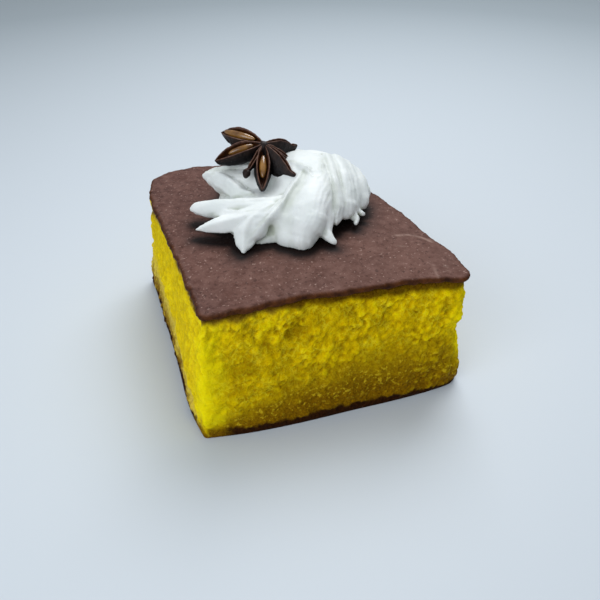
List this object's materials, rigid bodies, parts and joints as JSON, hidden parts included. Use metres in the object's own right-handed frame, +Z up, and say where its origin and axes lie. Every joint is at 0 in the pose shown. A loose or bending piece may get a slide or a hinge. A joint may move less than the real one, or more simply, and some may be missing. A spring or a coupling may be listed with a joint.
{
  "type": "sponge cake square with piped cream",
  "caption": "Square of yellow sponge cake with a browned top skin, topped with a piped swirl of whipped cream and a whole star anise.",
  "frame": {"origin": "middle of the bounding box, at its underside", "axes": "+X along the cut front face to the right, +Y towards the back, +Z up"},
  "size_m": [0.0812, 0.0902, 0.0614],
  "materials": {
    "sponge": "open yellow crumb, matte, with a brown top skin and a darker base",
    "cream": "soft white, semi-matte",
    "star_anise": "dark brown husk with glossy amber seeds"
  },
  "bodies": {
    "root": {"sponge": "sponge", "cream": "cream", "star_anise": "star_anise"}
  },
  "joints": []
}
